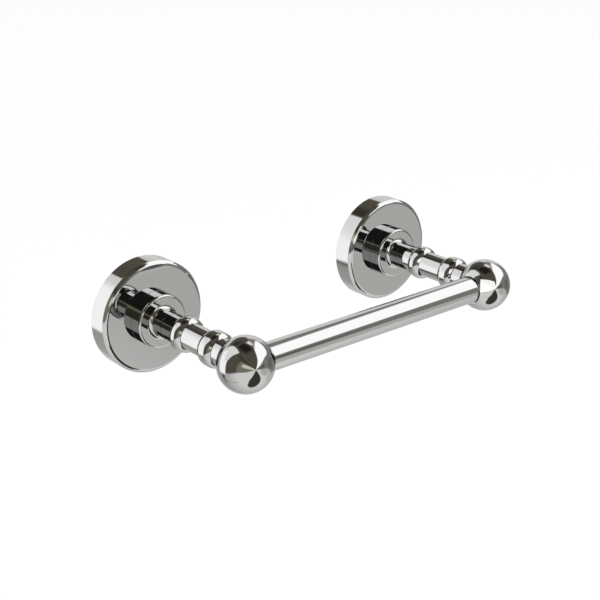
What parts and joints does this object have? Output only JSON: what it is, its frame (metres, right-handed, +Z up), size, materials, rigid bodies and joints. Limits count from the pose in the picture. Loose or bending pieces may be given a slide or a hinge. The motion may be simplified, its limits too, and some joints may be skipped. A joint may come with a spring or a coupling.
{
  "type": "toilet roll holder",
  "caption": "Wall-mounted toilet roll holder with turned chrome posts, ball ends and a sprung bar between the balls.",
  "frame": {"origin": "on the wall plane, midway between the two posts, at the height of the bar's axis", "axes": "+X along the bar to the right as seen from the room, +Y into the wall, +Z up"},
  "size_m": [0.2048, 0.0931, 0.055],
  "materials": {
    "polished_chrome": "mirror polished",
    "plated_steel": "zinc plated",
    "black_nylon": "moulded"
  },
  "bodies": {
    "brackets": {"left_wall_plate": "plated_steel", "left_rose": "polished_chrome", "left_rose_grub_screw": "plated_steel", "left_post_screw": "plated_steel", "left_post_washer": "plated_steel", "left_post": "polished_chrome", "left_ball": "polished_chrome", "left_ball_stud": "plated_steel", "right_wall_plate": "plated_steel", "right_rose": "polished_chrome", "right_rose_grub_screw": "plated_steel", "right_post_screw": "plated_steel", "right_post_washer": "plated_steel", "right_post": "polished_chrome", "right_ball": "polished_chrome", "right_ball_stud": "plated_steel"},
    "plunger": {"plunger": "black_nylon", "plunger_spring": "plated_steel"},
    "roller": {"roller_tube": "polished_chrome", "roller_end_plug": "black_nylon", "plunger_guide": "black_nylon", "spring_stop": "black_nylon"}
  },
  "joints": [
    {"name": "roller_spin", "type": "hinge", "parent": "brackets", "child": "plunger", "pos_m": [0, -0.08025, 0], "axis": [1, 0, 0], "continuous": true},
    {"name": "roller_push", "type": "slide", "parent": "plunger", "child": "roller", "axis": [-1, 0, 0], "range_m": [0, 0.003], "stiffness_N_per_m": 800, "springref_m": -0.008, "deforming": ["plunger_spring"]}
  ]
}
